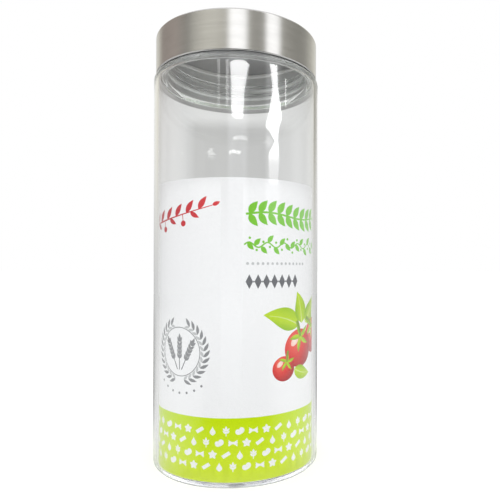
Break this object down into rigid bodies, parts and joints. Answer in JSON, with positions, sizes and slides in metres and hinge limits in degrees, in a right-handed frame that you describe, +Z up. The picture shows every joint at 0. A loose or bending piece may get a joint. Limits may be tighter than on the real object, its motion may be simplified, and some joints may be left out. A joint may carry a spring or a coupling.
{
  "type": "lidded glass canister",
  "caption": "Tall clear glass storage jar with a screw neck, a flat brushed steel cap with a threaded plastic liner, a soft sealing ring and a card label curled inside.",
  "frame": {"origin": "middle of the ring that the jar stands on", "axes": "+Z up along the jar's axis, -Y towards the front of the label"},
  "size_m": [0.108, 0.108, 0.2734],
  "materials": {
    "clear_glass": "clear pressed soda glass, slightly wavy, faint green at the thick edges",
    "brushed_steel": "stainless steel brushed around its axis",
    "grey_plastic": "moulded mid-grey plastic",
    "silicone": "translucent white silicone",
    "printed_card": "white coated card with a lime green lower band"
  },
  "bodies": {
    "jar": {"jar_body": "clear_glass", "label_insert": "printed_card"},
    "seal": {"sealing_ring": "silicone"},
    "lid": {"lid_shell": "brushed_steel", "lid_liner": "grey_plastic"}
  },
  "joints": [
    {"name": "lid_rise", "type": "slide", "parent": "jar", "child": "seal", "axis": [0, 0, 1], "range_m": [0, 0.0241]},
    {"name": "lid_turn", "type": "hinge", "parent": "seal", "child": "lid", "pos_m": [0, 0, 0.26], "axis": [0, 0, 1], "range_deg": [0, 1440]}
  ],
  "couplings": [
    {"joint": "lid_rise", "follows": "lid_turn", "m_per_rad": 0.00095493}
  ]
}
